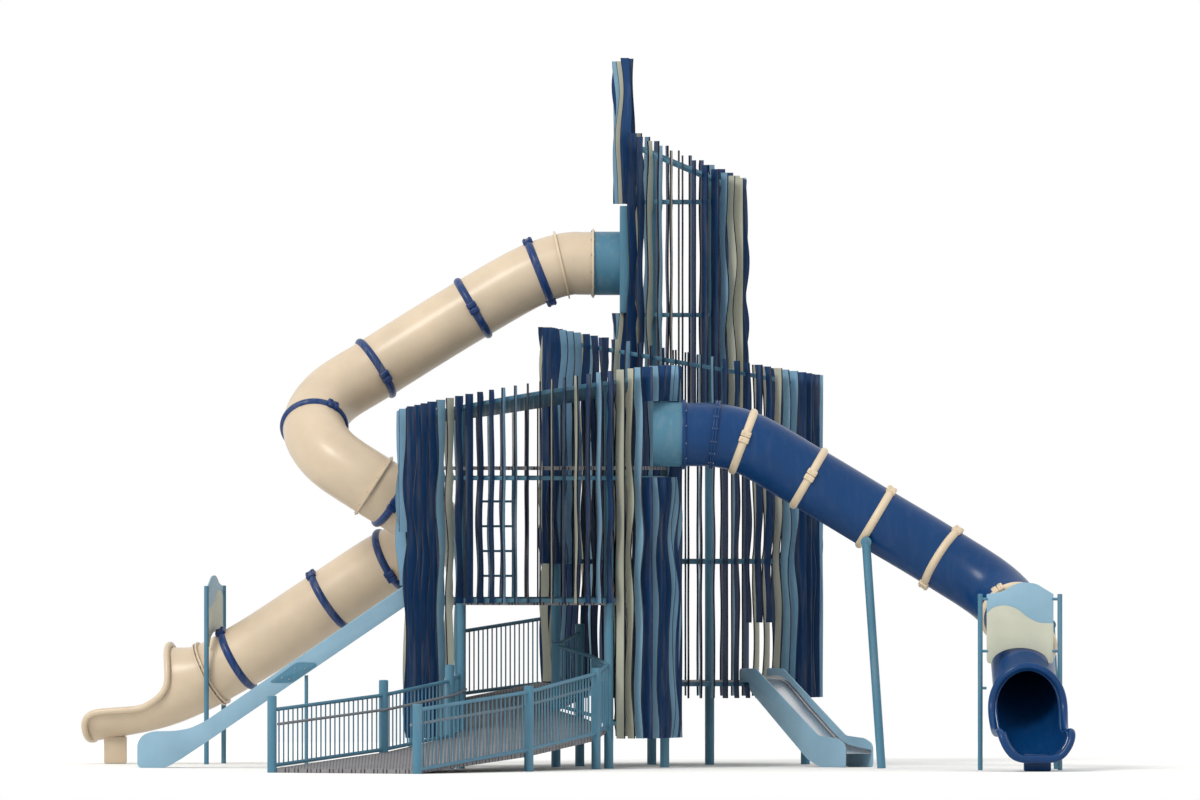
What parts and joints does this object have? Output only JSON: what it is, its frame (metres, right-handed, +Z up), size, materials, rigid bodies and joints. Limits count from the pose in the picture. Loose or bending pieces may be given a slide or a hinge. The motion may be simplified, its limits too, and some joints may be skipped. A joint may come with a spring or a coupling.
{
  "type": "playground play structure",
  "caption": "Playground structure of round slatted towers with a ramp, a spiralling tube slide, a bent tube slide and open slides.",
  "frame": {"origin": "centre of the foot of the left entrance post of the front tower, at ground level", "axes": "+Z up, +X to the right as one faces the entrance side, +Y away from the entrance side"},
  "size_m": [12.186, 11.3708, 8.74],
  "materials": {
    "teal_steel": "satin",
    "boards": "matt",
    "pale_sheet": "satin",
    "deck": "matt",
    "blue_plastic": "gloss",
    "beige_plastic": "gloss",
    "slide_steel": "brushed"
  },
  "bodies": {
    "root": {"beige_slide_entry": "beige_plastic", "beige_slide_exit_panel": "pale_sheet", "beige_slide_lower_bend": "beige_plastic", "beige_slide_lower_run": "beige_plastic", "beige_slide_neck": "beige_plastic", "beige_slide_portal": "teal_steel", "beige_slide_run_out": "beige_plastic", "beige_slide_sleeve": "teal_steel", "beige_slide_upper_bend": "beige_plastic", "blue_slide_bend": "blue_plastic", "blue_slide_entry": "blue_plastic", "blue_slide_exit_panel": "pale_sheet", "blue_slide_pole_lower": "teal_steel", "blue_slide_pole_upper": "teal_steel", "blue_slide_run_out": "blue_plastic", "blue_slide_sleeve": "teal_steel", "blue_slide_straight_run": "blue_plastic", "flat_slide": "pale_sheet", "front_tower_ladder": "teal_steel", "front_tower_landing": "deck", "front_tower_lid": "teal_steel", "front_tower_post_back_left": "teal_steel", "front_tower_post_back_right": "teal_steel", "front_tower_post_entrance_left": "teal_steel", "front_tower_post_entrance_right": "teal_steel", "front_tower_post_left": "teal_steel", "front_tower_post_right": "teal_steel", "front_tower_screen_left_back": "boards", "front_tower_screen_left_front": "boards", "front_tower_screen_over_back_exit": "boards", "front_tower_screen_over_entrance": "boards", "front_tower_screen_right_back": "boards", "front_tower_screen_right_front": "boards", "front_tower_upper_deck": "deck", "metal_slide": "slide_steel", "mid_tower_deck": "deck", "mid_tower_post_left": "teal_steel", "mid_tower_post_right": "teal_steel", "mid_tower_screen_left_back": "boards", "mid_tower_screen_left_front": "boards", "mid_tower_screen_right_back": "boards", "mid_tower_screen_right_front": "boards", "ramp_back_railing": "teal_steel", "ramp_inner_left_railing": "teal_steel", "ramp_inner_right_railing": "teal_steel", "ramp_left_railing": "teal_steel", "ramp_lower_deck": "deck", "ramp_middle_deck": "deck", "ramp_right_railing": "teal_steel", "ramp_upper_deck": "deck", "tall_tower_deck": "deck", "tall_tower_post_left_back": "teal_steel", "tall_tower_post_left_front": "teal_steel", "tall_tower_post_right_back": "teal_steel", "tall_tower_post_right_front": "teal_steel", "tall_tower_screen_back": "boards", "tall_tower_screen_below_slide": "boards", "tall_tower_screen_front": "boards", "tall_tower_screen_right": "boards", "tall_tower_spire": "boards"}
  },
  "joints": []
}
